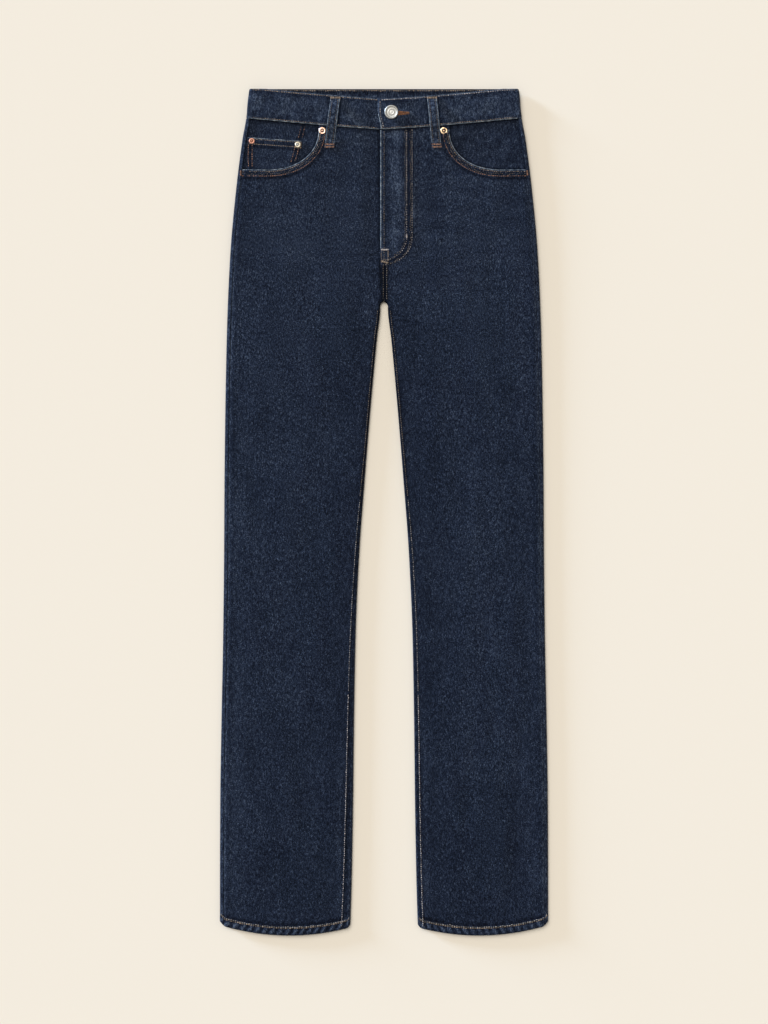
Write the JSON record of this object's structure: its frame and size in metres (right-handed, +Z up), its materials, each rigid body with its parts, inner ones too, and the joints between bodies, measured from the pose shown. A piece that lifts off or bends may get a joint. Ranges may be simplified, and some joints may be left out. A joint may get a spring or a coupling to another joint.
{
  "type": "jeans",
  "caption": "Straight leg denim jeans laid flat and face up, with a shank button, a buttoned fly lap, a coin pocket, copper rivets, belt loops, a back yoke and patch pockets.",
  "frame": {"origin": "centre of the bounding box, at the height of the surface the jeans lie on", "axes": "+Z up from the surface, +Y from the hems to the waist, +X to the wearer's left"},
  "size_m": [0.42, 1.0824, 0.0155],
  "materials": {
    "denim": "matt, washed at the seams and thighs",
    "steel": "satin",
    "copper": "satin"
  },
  "bodies": {
    "root": {"front_left": "denim", "front_right": "denim", "back_left": "denim", "back_right": "denim", "yoke_left": "denim", "yoke_right": "denim", "waistband": "denim", "pocket_facing_left": "denim", "pocket_facing_right": "denim", "coin_pocket": "denim", "back_pocket_left": "denim", "back_pocket_right": "denim", "belt_loop_front_left": "denim", "belt_loop_front_right": "denim", "belt_loop_back_left": "denim", "belt_loop_back_right": "denim", "belt_loop_back_centre": "denim", "button": "steel", "rivet_coin_inner": "steel", "rivet_pocket_left": "copper", "rivet_pocket_right": "copper", "rivet_coin_outer": "copper"}
  },
  "joints": []
}
